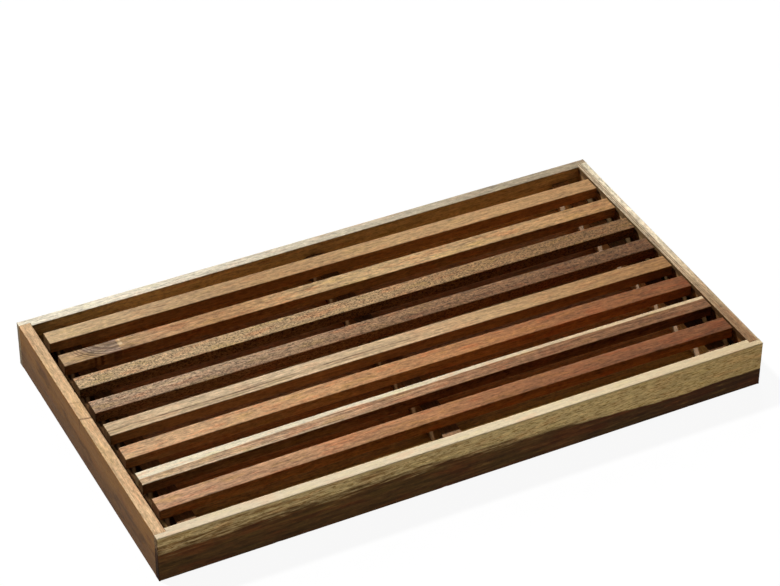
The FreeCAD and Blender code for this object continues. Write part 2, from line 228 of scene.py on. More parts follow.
def finish_piece(name, mesh, half, axes, centre, body, node, material, bow=0.0,
                 sharp=None, sawn=(1,)):
    """Store board coordinates, bend, put in place in metres and hook up."""
    p = points_of(mesh)
    board = mesh.attributes.new("board", "FLOAT_VECTOR", "POINT")
    board.data.foreach_set("vector", p.astype(np.float32).ravel())
    # how far each corner of a face is end grain, and how far it is rounded edge
    h = np.asarray(half, float)
    near = np.sort(h - np.abs(p), axis=1)[:, 1]
    wear = np.clip(1 - near / 0.9, 0, 1)
    normals = np.empty(len(mesh.polygons) * 3, np.float32)
    mesh.polygons.foreach_get("normal", normals)
    end = np.clip((np.abs(normals.reshape(-1, 3)[:, 0]) - 0.45) / 0.35, 0, 1)
    side = np.abs(normals.reshape(-1, 3)[:, sawn[0]]) if sawn else 0 * end
    side = np.clip((side - 0.5) / 0.4, 0, 1)
    loops = np.empty(len(mesh.loops), np.int32)
    mesh.loops.foreach_get("vertex_index", loops)
    totals = np.empty(len(mesh.polygons), np.int32)
    mesh.polygons.foreach_get("loop_total", totals)
    cut = np.zeros((len(loops), 3), np.float32)
    cut[:, 0] = np.repeat(end, totals)
    cut[:, 1] = wear[loops]
    cut[:, 2] = np.repeat(side, totals)
    spot = mesh.attributes.new("cut", "FLOAT_VECTOR", "CORNER")
    spot.data.foreach_set("vector", cut.ravel())
    if bow:
        p[:, 1] -= bow * (2 * p[:, 0] / SLAT_L) ** 2
    place = np.stack([np.asarray(a, float) for a in axes], 1)
    p = (p @ place.T + np.asarray(centre, float)) / 1000.0
    mesh.vertices.foreach_set("co", p.ravel())
    mesh.update()
    mesh.shade_smooth()
    if sharp:
        mesh.set_sharp_from_angle(angle=math.radians(sharp))
    mesh.materials.clear()
    mesh.materials.append(material)
    piece = bpy.data.objects.new(name, mesh)
    SCENE.collection.objects.link(piece)
    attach(piece, body)
    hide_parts(node)
    return piece


# ---------------------------------------------------------------------------
# Wood
# ---------------------------------------------------------------------------
def tone(r, g, b):
    """Colour as seen on a screen, 0 to 255, to the shader's own scale."""
    out = []
    for c in (r, g, b):
        c /= 255.0
        out.append(c / 12.92 if c <= 0.04045 else ((c + 0.055) / 1.055) ** 2.4)
    return (*out, 1.0)


class Nodes:
    """Short names for the shader nodes used here."""

    def __init__(self, material):
        material.use_nodes = True
        self.tree = material.node_tree
        self.tree.nodes.clear()
        self.out = self.tree.nodes.new("ShaderNodeOutputMaterial")
        self.skin = self.tree.nodes.new("ShaderNodeBsdfPrincipled")
        self.tree.links.new(self.skin.outputs[0], self.out.inputs[0])

    def set(self, socket, value):
        if isinstance(value, bpy.types.NodeSocket):
            self.tree.links.new(value, socket)
        else:
            socket.default_value = value

    def attribute(self, name):
        node = self.tree.nodes.new("ShaderNodeAttribute")
        node.attribute_name = name
        return node.outputs["Vector"]

    def math(self, kind, a, b=0.0, c=0.0, clamp=False):
        node = self.tree.nodes.new("ShaderNodeMath")
        node.operation, node.use_clamp = kind, clamp
        for socket, value in zip(node.inputs, (a, b, c)):
            self.set(socket, value)
        return node.outputs[0]

    def add(self, a, b):
        return self.math("ADD", a, b)

    def sub(self, a, b):
        return self.math("SUBTRACT", a, b)

    def mul(self, a, b):
        return self.math("MULTIPLY", a, b)

    def split(self, vector):
        node = self.tree.nodes.new("ShaderNodeSeparateXYZ")
        self.set(node.inputs[0], vector)
        return node.outputs[0], node.outputs[1], node.outputs[2]

    def join(self, x, y, z):
        node = self.tree.nodes.new("ShaderNodeCombineXYZ")
        for socket, value in zip(node.inputs, (x, y, z)):
            self.set(socket, value)
        return node.outputs[0]

    def place(self, vector, scale, offset=(0, 0, 0)):
        node = self.tree.nodes.new("ShaderNodeVectorMath")
        node.operation = "MULTIPLY_ADD"
        self.set(node.inputs[0], vector)
        node.inputs[1].default_value = scale
        node.inputs[2].default_value = offset
        return node.outputs[0]

    def noise(self, vector, detail=2.0, rough=0.5, distort=0.0):
        node = self.tree.nodes.new("ShaderNodeTexNoise")
        node.noise_dimensions = "3D"
        self.set(node.inputs["Vector"], vector)
        node.inputs["Scale"].default_value = 1.0
        node.inputs["Detail"].default_value = detail
        node.inputs["Roughness"].default_value = rough
        node.inputs["Distortion"].default_value = distort
        return node.outputs[0]

    def bands(self, value, detail=2.0, rough=0.5):
        node = self.tree.nodes.new("ShaderNodeTexNoise")
        node.noise_dimensions = "1D"
        self.set(node.inputs["W"], value)
        node.inputs["Scale"].default_value = 1.0
        node.inputs["Detail"].default_value = detail
        node.inputs["Roughness"].default_value = rough
        return node.outputs[0]

    def cells(self, vector, spread=1.0):
        node = self.tree.nodes.new("ShaderNodeTexVoronoi")
        node.feature = "F1"
        self.set(node.inputs["Vector"], vector)
        node.inputs["Scale"].default_value = 1.0
        node.inputs["Randomness"].default_value = spread
        return node.outputs["Distance"], node.outputs["Color"]

    def rise(self, value, low, high, to_low=0.0, to_high=1.0):
        """Smooth step from low to high."""
        node = self.tree.nodes.new("ShaderNodeMapRange")
        node.interpolation_type = "SMOOTHSTEP"
        self.set(node.inputs["Value"], value)
        self.set(node.inputs["From Min"], low)
        self.set(node.inputs["From Max"], high)
        self.set(node.inputs["To Min"], to_low)
        self.set(node.inputs["To Max"], to_high)
        return node.outputs[0]

    def mix(self, factor, a, b, kind="MIX"):
        node = self.tree.nodes.new("ShaderNodeMix")
        node.data_type, node.blend_type, node.clamp_factor = "RGBA", kind, True
        self.set(node.inputs[0], factor)
        self.set(node.inputs[6], a)
        self.set(node.inputs[7], b)
        return node.outputs[2]

    def ramp(self, value, stops, smooth=True):
        node = self.tree.nodes.new("ShaderNodeValToRGB")
        node.color_ramp.interpolation = "B_SPLINE" if smooth else "LINEAR"
        elements = node.color_ramp.elements
        while len(elements) < len(stops):
            elements.new(0.5)
        for element, (where, colour) in zip(elements, stops):
            element.position, element.color = where, colour
        self.set(node.inputs[0], value)
        return node.outputs[0]

    def shade(self, colour, factor):
        """Colour times a grey factor socket."""
        node = self.tree.nodes.new("ShaderNodeVectorMath")
        node.operation = "SCALE"
        self.set(node.inputs[0], colour)
        self.set(node.inputs["Scale"], factor)
        return node.outputs[0]


def wood(name, seed, stops, half_length, spacing=5.0, ring=0.30, pith=(30.0, -60.0),
         streak=0.45, blot=0.35, fleck=0.10, fleck_size=(2.6, 1.1), pore=0.30, mottle=0.10,
         warm=0.10, wander=2.2, rough=0.50, relief=0.05, extra=None, end_dark=0.62,
         side_tint=(0.68, 0.57, 0.44), outer_tint=None, fleck_band=(0.47, 0.64),
         front_face_light=None, shine=0.12, end_tint=None, glint=0.0, crisp=1.0,
         across=False):
    """Planed and oiled hardwood, as one solid pattern in board millimetres.
    stops: colours along the board, from its left end to its right end.
    spacing and pith: width and middle of the growth rings across the board.
    fleck and pore: share of darkening by coarse flecks and fine vessels.
    front_face_light: painted light and shade on the narrow front face, which lies in shade in the
    gaps: how light it is made at its left and right end.
    glint: share of lightening by small pale flecks.
    crisp: contrast of the figure on the sanded faces.
    across: the outer tint is for the side with positive v instead of w."""
    material = bpy.data.materials.new(name)
    n = Nodes(material)
    rng = np.random.default_rng(seed)
    shift = tuple(float(x) for x in rng.uniform(-40, 40, 3))
    board = n.attribute("board")
    cut = n.attribute("cut")
    end, wear, sawn = n.split(cut)
    u, v, w = n.split(board)

    # slow wandering of the grain along the board
    slow_v = n.noise(n.place(board, (1 / 90, 1 / 60, 1 / 60), shift), 2.0, 0.5)
    slow_w = n.noise(n.place(board, (1 / 70, 1 / 50, 1 / 50), shift[::-1]), 2.0, 0.5)
    fine = n.noise(n.place(board, (1 / 22, 1 / 6, 1 / 6), shift), 3.0, 0.6)
    v1 = n.add(v, n.add(n.mul(n.sub(slow_v, 0.5), wander * 4), n.mul(n.sub(fine, 0.5), wander)))
    w1 = n.add(w, n.mul(n.sub(slow_w, 0.5), wander * 4))

    # growth rings about a far-off pith
    dv, dw = n.sub(v1, pith[0]), n.sub(w1, pith[1])
    radius = n.math("SQRT", n.add(n.mul(dv, dv), n.mul(dw, dw)))
    coarse = n.bands(n.mul(radius, 1.0 / spacing), 3.0, 0.55)
    thin = n.bands(n.mul(radius, 1.0 / (spacing * 0.22)), 2.0, 0.6)
    rings = n.add(n.mul(n.sub(coarse, 0.5), 1.6), n.mul(n.sub(thin, 0.5), 0.55))

    # fibres, streaks, blotches, flecks, vessels
    hair = n.noise(n.place(board, (1 / 22, 1 / 0.42, 1 / 0.42), shift), 3.0, 0.65)
    streaks = n.noise(n.place(n.join(u, v1, w1), (1 / 17, 1 / 1.5, 1 / 1.5), shift[::-1]),
                      4.0, 0.66)
    blots = n.noise(n.place(board, (1 / 4.6, 1 / 1.7, 1 / 1.7), shift), 4.0, 0.70, 0.3)
    spots = n.noise(n.place(board, (1 / fleck_size[0], 1 / fleck_size[1], 1 / fleck_size[1]),
                            shift), 3.0, 0.70, 0.4)
    flecks = n.rise(spots, *fleck_band)
    distance, cell = n.cells(n.place(board, (1 / 4.6, 1 / 0.75, 1 / 0.75), shift))
    pick, _, _ = n.split(cell)
    vessels = n.mul(n.rise(distance, 0.26, 0.12), n.rise(pick, 0.50, 0.56))
    patches = n.noise(n.place(board, (1 / 45, 1 / 9, 1 / 9), shift), 3.0, 0.55)
    tints = n.noise(n.place(board, (1 / 26, 1 / 5.5, 1 / 5.5), shift[::-1]), 3.0, 0.6)

    # colour
    along = n.math("MULTIPLY_ADD", u, 0.5 / half_length, 0.5)
    base = n.ramp(along, [((s + half_length) / (2 * half_length), c) for s, c in stops])
    info = dict(n=n, u=u, v=v, w=w, v1=v1, w1=w1, board=board, rings=rings, fine=fine,
                shift=shift, patches=patches, flecks=flecks, slow=slow_v, streaks=streaks,
                blots=blots)
    calm = None
    if extra is not None:
        base = extra(base, info)
        calm = info.get("calm")
    redder = n.mix(n.rise(tints, 0.50, 0.68, 0.0, warm * 4.0), base,
                   n.mix(1.0, base, (1.08, 0.84, 0.74, 1), "MULTIPLY"))
    redder = n.mix(n.rise(tints, 0.48, 0.32, 0.0, warm * 4.0), redder,
                   n.mix(1.0, redder, (1.0, 1.0, 0.80, 1), "MULTIPLY"))
    factor = n.add(1.0, n.add(n.mul(rings, ring * 2.0), n.mul(n.sub(hair, 0.5), 0.75)))
    factor = n.add(factor, n.mul(n.sub(streaks, 0.5), streak * 2.9))
    factor = n.add(factor, n.mul(n.sub(blots, 0.5), blot * 4.6))
    factor = n.add(factor, n.mul(n.sub(patches, 0.5), mottle * 3.0))
    if calm is not None:
        factor = n.add(n.mul(n.sub(factor, 1.0), n.sub(1.0, n.mul(calm, 0.62))), 1.0)
    if crisp != 1.0:
        more = n.math("MULTIPLY_ADD", n.sub(1.0, sawn), crisp - 1.0, 1.0)
        factor = n.add(n.mul(n.sub(factor, 1.0), more), 1.0)
    factor = n.mul(factor, n.sub(1.0, n.mul(flecks, fleck)))
    if glint:
        pale = n.noise(n.place(board, (1 / 1.9, 1 / 1.0, 1 / 1.0), shift[::-1]), 2.0, 0.6)
        factor = n.mul(factor, n.add(1.0, n.mul(n.rise(pale, 0.53, 0.62), glint)))
    factor = n.mul(factor, n.sub(1.0, n.mul(vessels, pore)))
    factor = n.mul(factor, n.sub(1.0, n.mul(end, 1.0 - end_dark)))
    factor = n.mul(factor, n.add(1.0, n.mul(wear, 0.05)))
    factor = n.math("MAXIMUM", factor, 0.10)
    # painted light: a brightness gain on the sawn faces, set by front_face_light or by a board's
    # extra figure
    gain = info.get("gain")
    if front_face_light:
        ahead = n.rise(v, 0.0, -3.0)
        gain = n.math("MULTIPLY_ADD", along, front_face_light[1] - front_face_light[0], front_face_light[0])
        gain = n.add(1.0, n.mul(n.sub(gain, 1.0), ahead))
    if gain is not None:
        factor = n.mul(factor, n.add(1.0, n.mul(n.sub(gain, 1.0), sawn)))
    # the sawn side faces get a tint of their own, mostly painted shade that makes them darker than
    # the tops; on the back board's inner face the tint is lighter, as painted light
    tint = (*side_tint, 1)
    if outer_tint:
        tint = n.mix(n.rise(v if across else w, -0.5, 0.5), tint, (*outer_tint, 1))
    side_shaded = n.mix(sawn, redder, n.mix(1.0, redder, tint, "MULTIPLY"))
    if end_tint:
        side_shaded = n.mix(end, side_shaded, n.mix(1.0, side_shaded, (*end_tint, 1), "MULTIPLY"))
    n.set(n.skin.inputs["Base Color"], n.shade(side_shaded, factor))

    # oiled surface: vessels and end grain stay duller, handled edges shine more
    gloss = n.add(rough + 0.05, n.add(n.mul(n.sub(hair, 0.5), 0.16),
                                      n.mul(n.sub(patches, 0.5), 0.18)))
    gloss = n.add(gloss, n.add(n.mul(vessels, 0.15), n.mul(end, 0.18)))
    gloss = n.sub(gloss, n.mul(wear, 0.05))
    n.set(n.skin.inputs["Roughness"], n.math("MAXIMUM", gloss, 0.2))
    n.skin.inputs["Specular IOR Level"].default_value = shine
    n.skin.inputs["IOR"].default_value = 1.47

    height = n.add(n.add(n.mul(n.sub(hair, 0.5), 0.5), n.mul(n.sub(streaks, 0.5), 0.6)),
                   n.mul(vessels, -1.0))
    height = n.add(height, n.add(n.mul(flecks, -0.25), n.mul(rings, 0.22)))
    bump = n.tree.nodes.new("ShaderNodeBump")
    bump.inputs["Strength"].default_value = 0.55
    bump.inputs["Distance"].default_value = relief / 1000.0
    n.set(bump.inputs["Height"], height)
    n.set(n.skin.inputs["Normal"], bump.outputs[0])
    return material


# -- local figures -----------------------------------------------------------
def knot_figure(base, f):
    """Dark grain bending round a knot at the back edge, near the left end."""
    n, u, v = f["n"], f["u"], f["v"]
    warp = n.mul(n.sub(f["blots"], 0.5), 3.0)
    du = n.mul(n.add(n.add(u, 167.0), warp), 1 / 24.0)
    dv = n.mul(n.sub(v, 9.0), 1 / 16.6)
    d = n.math("SQRT", n.add(n.mul(du, du), n.mul(dv, dv)))
    left = n.rise(n.add(u, n.mul(warp, 0.35)), -164.2, -165.6)
    dark = n.mul(n.rise(d, 1.04, 0.88), left)
    curls = n.bands(n.mul(d, 9.0), 3.0, 0.6)
    inner = n.mix(n.rise(curls, 0.42, 0.58), tone(108, 84, 72), tone(170, 144, 122))
    base = n.mix(n.mul(dark, 0.9), base, inner)
    for where, depth in ((1.05, 0.80), (1.15, 0.62), (1.24, 0.30)):
        arc = n.rise(n.math("ABSOLUTE", n.sub(d, where)), 0.034, 0.010)
        base = n.mix(n.mul(n.mul(arc, n.rise(u, -166.0, -174.0)), depth), base, tone(92, 64, 46))
    shadow = n.mul(n.rise(u, -135.0, -165.0), n.mul(n.rise(u, -166.0, -163.0),
                                                   n.rise(v, -0.5, -4.0)))
    base = n.mix(n.mul(shadow, 0.45), base, tone(128, 96, 70))
    # pale scar right of the knot
    su = n.mul(n.add(u, 163.4), 1 / 2.0)
    sv = n.mul(n.sub(v, 1.0), 1 / 2.2)
    spot = n.rise(n.add(n.mul(su, su), n.mul(sv, sv)), 1.0, 0.3)
    line = n.mul(n.rise(n.math("ABSOLUTE", n.add(u, 163.0)), 0.9, 0.4), n.rise(v, 0.0, 2.0))
    scar = n.math("MAXIMUM", spot, n.mul(line, 0.7))
    return n.mix(n.mul(scar, 0.75), base, tone(226, 196, 160))


def pale_half(base, f):
    """Sapwood along the back part of a slat, heartwood along its front part."""
    n = f["n"]
    line = n.add(n.rise(f["u"], -210.0, -40.0, 1.0, 3.5), n.rise(f["u"], 0.0, 180.0, 0.0, 0.9))
    line = n.add(line, n.mul(n.sub(f["slow"], 0.5), 3.0))
    depth = n.sub(n.add(f["v"], n.mul(f["w"], 0.25)), line)
    sap = n.rise(depth, -0.4, 0.5)
    edge = n.rise(n.math("ABSOLUTE", n.add(depth, 0.9)), 0.9, 0.1)
    lines = n.bands(n.mul(f["v1"], 1.25), 3.0, 0.6)
    pale = n.mix(n.rise(f["u"], -80.0, 160.0), tone(238, 224, 194), tone(218, 190, 150))
    pale = n.mix(n.rise(lines, 0.62, 0.74, 0.0, 0.7), pale, tone(206, 176, 136))
    heart = n.mix(n.rise(lines, 0.44, 0.60), base,
                  n.mix(1.0, base, (0.55, 0.48, 0.42, 1), "MULTIPLY"))
    heart = n.mix(n.mul(edge, 0.5), heart, n.mix(1.0, base, (0.5, 0.45, 0.38, 1), "MULTIPLY"))
    rim = n.mul(n.rise(f["v"], -4.6, -5.6), n.rise(f["u"], -20.0, -120.0))
    heart = n.mix(n.mul(rim, 0.6), heart, tone(222, 202, 168))
    f["calm"] = sap
    return n.mix(sap, heart, pale)


def dark_threads(base, f):
    """Thin dark lines in the left half of a pale slat, with a shade round them."""
    n = f["n"]
    wave = n.add(n.add(f["v"], n.mul(n.sub(f["slow"], 0.5), 3.0)), 1.6)
    first = n.rise(n.math("ABSOLUTE", wave), 0.85, 0.15)
    second = n.rise(n.math("ABSOLUTE", n.add(wave, 2.3)), 0.9, 0.15)
    band = n.rise(n.math("ABSOLUTE", n.add(wave, 0.8)), 3.2, 0.4)
    broken = n.rise(f["fine"], 0.34, 0.54)
    fade = n.rise(f["u"], 60.0, -60.0)
    base = n.mix(n.mul(n.mul(band, fade), 0.34), base, tone(150, 118, 82))
    mark = n.mul(n.mul(n.add(first, n.mul(second, 0.6)), broken), fade)
    return n.mix(n.mul(mark, 0.78), base, tone(92, 68, 44))


def front_shade(base, f):
    """The front half of the slat is the darker one."""
    n = f["n"]
    return n.mix(n.rise(f["v1"], 2.0, -3.0, 0.0, 0.75), base,
                 n.mix(1.0, base, (0.72, 0.66, 0.62, 1), "MULTIPLY"))


def front_figure(base, f):
    """Sapwood above, dark heartwood below; the line sinks to the right."""
    n, u, v = f["n"], f["u"], f["v"]
    level = n.add(n.rise(u, -60.0, 150.0, 7.4, -4.4),
                  n.mul(n.rise(u, 10.0, 60.0, 0.0, 2.2), n.rise(u, 140.0, 100.0)))
    line = n.add(level, n.add(n.mul(n.sub(f["slow"], 0.5), 8.0), n.mul(n.sub(f["fine"], 0.5), 3.0)))
    soft = n.rise(u, -60.0, 140.0, 6.0, 0.9)
    # the grain climbs a little to the right, so the streaks do as well
    lean = n.sub(v, n.mul(u, 0.022))
    streak = n.noise(n.join(n.mul(u, 1 / 27.0), n.mul(lean, 1 / 2.5), f["w"]), 4.0, 0.64)
    below = n.math("DIVIDE", n.sub(line, v), soft)
    below = n.add(below, n.mul(n.sub(streak, 0.5), n.rise(u, 40.0, 150.0, 3.4, 0.7)))
    heart = n.rise(below, -0.7, 0.8)
    brown = n.ramp(n.math("MULTIPLY_ADD", u, 1 / 430.0, 0.5),
                   [(0.0, tone(112, 82, 48)), (0.5, tone(108, 78, 44)), (0.8, tone(88, 60, 32)),
                    (1.0, tone(80, 52, 26))])
    brown = n.mix(n.rise(streak, 0.44, 0.62), brown,
                  n.mix(1.0, brown, (0.66, 0.60, 0.52, 1), "MULTIPLY"))
    brown = n.mix(n.rise(streak, 0.42, 0.30, 0.0, 0.45), brown, tone(150, 118, 76))
    brown = n.mix(n.rise(f["patches"], 0.50, 0.62), brown,
                  n.mix(1.0, brown, (1.16, 0.88, 0.84, 1), "MULTIPLY"))
    brown = n.mix(n.rise(f["patches"], 0.50, 0.38), brown,
                  n.mix(1.0, brown, (0.92, 1.02, 0.86, 1), "MULTIPLY"))
    brown = n.mix(n.mul(n.rise(v, 2.0, -14.0), n.rise(u, -200.0, 120.0, 1.0, 0.2)), brown,
                  n.mix(1.0, brown, (0.66, 0.64, 0.62, 1), "MULTIPLY"))
    # short brown flecks on the sapwood face, not on the top edge
    dash = n.noise(n.join(n.mul(u, 1 / 5.5), n.mul(lean, 1 / 0.95), n.mul(f["w"], 1.0)), 3.0, 0.7)
    face = n.rise(v, 16.9, 15.2)
    flecked = n.mix(n.mul(n.rise(dash, 0.50, 0.62), n.mul(face, 0.85)), base, tone(150, 118, 66))
    wash = n.mul(n.rise(streak, 0.42, 0.64), n.mul(face, n.rise(u, 90.0, -120.0, 0.15, 0.9)))
    flecked = n.mix(wash, flecked, tone(148, 116, 74))
    f["calm"] = n.rise(v, 15.5, 16.6)
    mixed = n.mix(heart, flecked, brown)
    # thin dark dashes about the line between the two
    thin = n.noise(n.join(n.mul(u, 1 / 6.5), n.mul(lean, 1 / 0.85), n.mul(f["w"], 1.0)), 3.0, 0.65)
    near = n.mul(n.rise(n.math("ABSOLUTE", n.sub(n.sub(line, v), 0.5)), 9.0, 2.0), face)
    dashes = n.mul(n.mul(n.rise(thin, 0.58, 0.66), near), n.rise(u, 170.0, 60.0, 0.1, 0.62))
    return n.mix(dashes, mixed, tone(74, 46, 28))


def left_marks(base, f):
    """Two dark cross lines where small branches grew, and bluish patches."""
    n, u = f["n"], f["u"]
    warp = n.mul(n.sub(f["fine"], 0.5), 5.0)
    bend = n.mul(f["w"], 0.32)
    at = n.add(n.add(u, 6.2), n.add(warp, bend))
    line = n.rise(n.math("ABSOLUTE", at), 1.1, 0.25)
    faint = n.rise(n.math("ABSOLUTE", n.add(n.add(u, 23.6), n.add(warp, bend))), 1.2, 0.2)
    top = n.rise(f["v"], 6.0, 14.0)
    base = n.mix(n.mul(n.mul(line, top), 0.72), base, tone(84, 52, 32))
    base = n.mix(n.mul(n.mul(faint, top), 0.30), base, tone(110, 74, 46))
    glow = n.mul(n.rise(n.math("ABSOLUTE", n.add(u, 14.0)), 12.0, 2.0), top)
    base = n.mix(n.mul(glow, 0.25), base, tone(214, 170, 126))
    blot = n.noise(n.place(f["board"], (1 / 26, 1 / 9, 1 / 9), f["shift"]), 3.0, 0.6)
    side = n.rise(f["v"], 15.5, 9.0)
    f["calm"] = n.mul(n.rise(f["v"], 16.4, 14.5), 0.85)
    base = n.mix(n.rise(n.add(f["v"], n.mul(n.sub(f["slow"], 0.5), 14.0)), 9.0, -9.0, 0.0, 0.8),
                 base, n.mix(1.0, base, (0.50, 0.50, 0.72, 1), "MULTIPLY"))
    return n.mix(n.mul(n.mul(n.rise(blot, 0.48, 0.66), side), 0.5), base, tone(104, 76, 66))


def back_inner_painted_light(base, f):
    """Painted light on the inner face: lighter towards the right end, with painted shade at the
    left end.
    """
    n, u = f["n"], f["u"]
    light = n.add(n.rise(u, -215.0, -20.0, 1.75, 1.12), n.rise(u, 120.0, 214.0, 0.0, -0.50))
    f["gain"] = n.add(1.0, n.mul(n.sub(light, 1.0), n.rise(f["w"], 0.5, -0.5)))
    return base


def right_lines(base, f):
    """Brown lines along the inner edge; pale back half, pale outer edge in front; and a band of
    painted light on the inner face, some way below its top, where it lies in shade under the slat
    ends.
    """
    n, u = f["n"], f["u"]
    wave = n.add(f["w"], n.mul(n.sub(f["slow"], 0.5), 3.0))
    back = n.rise(u, -100.0, 20.0, 0.45, 1.0)
    inner = n.rise(wave, 0.9, -1.2)
    base = n.mix(n.mul(inner, n.mul(back, 0.34)), base, tone(170, 134, 92))
    ahead = n.rise(u, 30.0, -60.0)
    base = n.mix(n.mul(n.mul(ahead, n.rise(wave, 0.2, 2.6)), 0.6), base, tone(208, 180, 138))
    for where, width, depth in ((0.7, 0.55, 0.62), (2.0, 0.65, 0.74), (3.2, 0.55, 0.55)):
        line = n.rise(n.math("ABSOLUTE", n.add(wave, where)), width, 0.15)
        base = n.mix(n.mul(n.mul(line, back), depth), base, tone(112, 78, 48))
    red = n.mul(n.rise(f["streaks"], 0.46, 0.60), n.rise(u, -30.0, -75.0))
    # painted light: the inner face is made up to three times lighter in this band, where it lies in
    # shade
    painted_light_band = n.mul(n.rise(f["v"], 13.2, 11.0), n.rise(f["v"], 3.0, 6.0))
    f["gain"] = n.add(1.0, n.mul(n.mul(painted_light_band, 2.0), n.rise(f["w"], 0.5, -0.5)))
    return n.mix(n.mul(red, 0.6), base, tone(124, 82, 54))


def batten_top_painted_light(base, f):
    """Painted light: the top of a batten is made pale towards its back end, where it lies in deep
    shade.
    """
    n = f["n"]
    top = n.rise(f["w"], BATTEN_H / 2 - 0.5, BATTEN_H / 2 - 0.1)
    top = n.mul(top, n.rise(f["v"], BATTEN_W / 2 - 0.3, BATTEN_W / 2 - 0.8))
    part = n.mul(n.rise(f["u"], -30.0, 60.0), top)
    return n.mix(n.mul(part, 0.95), base, tone(228, 184, 130))


def staves(base, f):
    """A floor glued up from staves, each with its own tone, with painted light towards the back and
    in the middle and painted shade at the left end.
    """
    n, v = f["n"], f["v"]
    wide = 46.0
    place = n.math("MULTIPLY_ADD", v, 1.0 / wide, 2.5)
    which = n.math("FLOOR", place)
    offset = n.sub(n.math("FRACT", place), 0.5)
    pick = n.tree.nodes.new("ShaderNodeTexWhiteNoise")
    pick.noise_dimensions = "1D"
    n.set(pick.inputs["W"], n.add(which, 3.7))
    tinted = n.mix(n.mul(pick.outputs["Value"], 0.85), base, tone(196, 148, 98))
    tinted = n.mix(n.rise(v, -67.0, -71.0, 0.0, 0.85), tinted, tone(198, 162, 96))
    # painted light on the floor towards the back and in the middle, stronger towards the right end,
    # where the floor lies in shade under the slats
    back_painted_light = n.mul(n.rise(v, 67.0, 71.0), n.mul(n.rise(v, 80.0, 92.0, 0.35, 1.0),
                                          n.rise(f["u"], -150.0, 120.0, 0.25, 0.95)))
    tinted = n.mix(back_painted_light, tinted, tone(240, 196, 132))
    second = n.mul(n.mul(n.rise(v, -71.0, -67.0), n.rise(v, -21.0, -25.0)),
                   n.rise(f["u"], -150.0, 150.0, 0.1, 0.75))
    tinted = n.mix(second, tinted, tone(226, 178, 116))
    # painted shade: the floor is darker at the left end, next to the left end board
    tinted = n.mix(n.rise(f["u"], -180.0, -191.0, 0.0, 0.75), tinted, tone(76, 50, 28))
    seam = n.rise(n.math("ABSOLUTE", n.sub(n.math("ABSOLUTE", offset), 0.5)), 0.0075, 0.002)
    return n.mix(n.mul(seam, 0.55), tinted, tone(54, 36, 24))


def steel(name):
    material = bpy.data.materials.new(name)
    n = Nodes(material)
    coords = n.tree.nodes.new("ShaderNodeTexCoord")
    lines = n.noise(n.place(coords.outputs["Object"], (900, 900, 5200)), 3.0, 0.6)
    cloud = n.noise(n.place(coords.outputs["Object"], (300, 300, 300)), 2.0, 0.5)
    n.set(n.skin.inputs["Base Color"],
          n.mix(cloud, tone(150, 148, 142), tone(196, 193, 186)))
    n.skin.inputs["Metallic"].default_value = 1.0
    n.set(n.skin.inputs["Roughness"], n.rise(lines, 0.2, 0.8, 0.28, 0.48))
    bump = n.tree.nodes.new("ShaderNodeBump")
    bump.inputs["Strength"].default_value = 0.3
    bump.inputs["Distance"].default_value = 0.00002
    n.set(bump.inputs["Height"], lines)
    n.set(n.skin.inputs["Normal"], bump.outputs[0])
    return material


# ---------------------------------------------------------------------------
# Tray
# ---------------------------------------------------------------------------
def board_edge(outer, inner, joint):
    """Edge radii of a standing board: local u along, v up, w outwards."""
    def pick(axes, signs):
        if axes == (1, 2):
            top, out = signs[0] > 0, signs[1] > 0
            return outer if out else (inner if top else 0.3)
        return joint(axes, signs)
    return pick


def long_board(name, turn, seed, material):
    half = (LENGTH / 2, HEIGHT / 2, STOCK / 2)
    pick = board_edge(0.9, 0.5, lambda a, s: 0.8 if (a == (0, 2) and s[1] > 0)
                      else (0.5 if a == (0, 1) else 0.25))
    points, faces = block(half, 0.9, (1.6, 1.7, 1.6), pick)
    mesh = mesh_of(name, points, faces)
    inside = -STOCK / 2 + (STOCK - LIP)       # where the rabbet's face stands
    cutters = []
    for s in (-1, 1):
        a, b = sorted((s * (LENGTH / 2 - STOCK), s * (LENGTH / 2 + 2)))
        cutters.append(box_tool((a, -HEIGHT, -STOCK), (b, HEIGHT, inside)))
    low = FLOOR_Z - HEIGHT / 2
    cutters.append(box_tool((-LENGTH, low, -STOCK), (LENGTH, low + FLOOR_T, inside)))
    mesh = carve(mesh, cutters)
    weather(mesh, half, seed, 0.022, 16)
    if turn:
        axes, y = ((-1, 0, 0), (0, 0, 1), (0, 1, 0)), (WIDTH - STOCK) / 2
    else:
        axes, y = ((1, 0, 0), (0, 0, 1), (0, -1, 0)), -(WIDTH - STOCK) / 2
    return finish_piece(name + "_wood", mesh, half, axes, (0, y, HEIGHT / 2), "tray", name,
                        material, sharp=40, sawn=(2,))


def end_board(name, turn, seed, material):
    run = WIDTH / 2 - LIP - 0.06
    half = (run, HEIGHT / 2 - 0.02, STOCK / 2)
    pick = board_edge(0.9, 0.5, lambda a, s: 0.22)
    points, faces = block(half, 0.9, (1.6, 1.7, 1.6), pick)
    mesh = mesh_of(name, points, faces)
    low = FLOOR_Z - HEIGHT / 2
    mesh = carve(mesh, [box_tool((-WIDTH, low, -STOCK),
                                 (WIDTH, low + FLOOR_T, -STOCK / 2 + GROOVE))])
    weather(mesh, half, seed, 0.022, 12)
    if turn:
        axes, x = ((0, 1, 0), (0, 0, 1), (1, 0, 0)), (LENGTH - STOCK) / 2
    else:
        axes, x = ((0, -1, 0), (0, 0, 1), (-1, 0, 0)), -(LENGTH - STOCK) / 2
    return finish_piece(name + "_wood", mesh, half, axes, (x, 0, HEIGHT / 2), "tray", name,
                        material, sharp=40, sawn=(2,))


